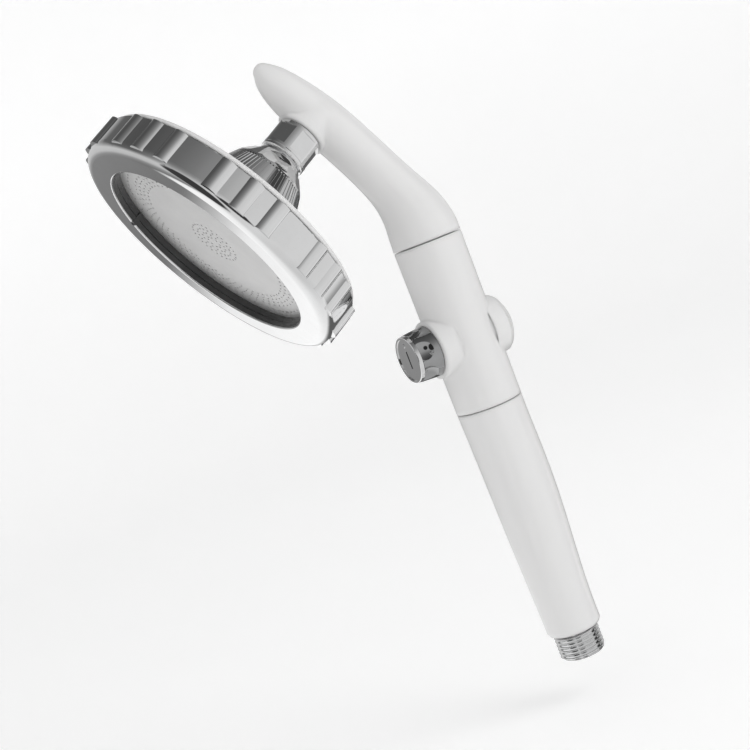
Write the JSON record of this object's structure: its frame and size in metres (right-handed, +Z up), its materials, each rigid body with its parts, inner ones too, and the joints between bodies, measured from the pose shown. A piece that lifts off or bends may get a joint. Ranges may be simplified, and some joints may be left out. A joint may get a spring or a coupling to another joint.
{
  "type": "handheld shower head",
  "caption": "Handheld shower head: round face in a ribbed metal bezel, ball joint behind it, three-part curved handle with a flow knob and a threaded hose inlet.",
  "frame": {"origin": "centre of the hose inlet's end face, on the handle's axis", "axes": "+Z up the handle from the hose inlet, -Y the way the spray face and the knob look, +X to the right of someone who stands behind the head"},
  "size_m": [0.1274, 0.1451, 0.2933],
  "materials": {
    "white_shell": "satin gloss",
    "chrome_plate": "polished",
    "spray_steel": "fine matt",
    "steel_screw": "machined",
    "seal_rubber": "matt",
    "dark_plastic": "gloss",
    "grey_plastic": "moulded",
    "acetal": "moulded"
  },
  "bodies": {
    "handle": {"upper_arm": "white_shell", "middle_body": "white_shell", "lower_grip": "white_shell", "inner_pipe": "grey_plastic", "pipe_seals": "seal_rubber", "seam_seals": "seal_rubber", "inlet_connector": "chrome_plate", "inlet_screen": "grey_plastic", "rear_cap": "white_shell", "valve_gland": "grey_plastic", "swivel_ball": "chrome_plate", "swivel_washer": "seal_rubber", "flow_restrictor": "grey_plastic"},
    "ball_ring": {"ball_friction_ring": "acetal"},
    "ball_cup": {"ball_seal": "seal_rubber"},
    "head": {"rear_shell": "white_shell", "union_nut": "chrome_plate", "port_plate": "acetal", "port_plate_screws": "steel_screw", "port_seals": "seal_rubber", "chamber_seal": "seal_rubber", "pivot_screw": "steel_screw"},
    "face": {"bezel_ring": "chrome_plate", "retaining_ring": "dark_plastic", "index_key": "dark_plastic", "spray_plate": "spray_steel", "plate_gasket": "seal_rubber", "distributor": "acetal", "face_screws": "steel_screw"},
    "knob_body": {"valve_spool": "acetal", "spool_seals": "seal_rubber", "knob": "chrome_plate", "knob_face": "chrome_plate", "knob_screw": "steel_screw"}
  },
  "joints": [
    {"name": "head_tilt", "type": "hinge", "parent": "handle", "child": "ball_ring", "pos_m": [0, -0.05719, 0.24872], "axis": [1, 0, 0], "range_deg": [-10, 10]},
    {"name": "head_swing", "type": "hinge", "parent": "ball_ring", "child": "ball_cup", "pos_m": [0, -0.05719, 0.24872], "axis": [0, -0.4848, 0.8746], "range_deg": [-10, 10]},
    {"name": "head_spin", "type": "hinge", "parent": "ball_cup", "child": "head", "pos_m": [0, -0.05719, 0.24872], "axis": [0, 0.8746, 0.4848], "continuous": true},
    {"name": "face_turn", "type": "hinge", "parent": "head", "child": "face", "pos_m": [0, -0.0962, 0.2271], "axis": [0, 0.8746, 0.4848], "range_deg": [0, 55]},
    {"name": "knob_turn", "type": "hinge", "parent": "handle", "child": "knob_body", "pos_m": [0, 0, 0.153], "axis": [0, -1, 0], "range_deg": [0, 90]}
  ]
}
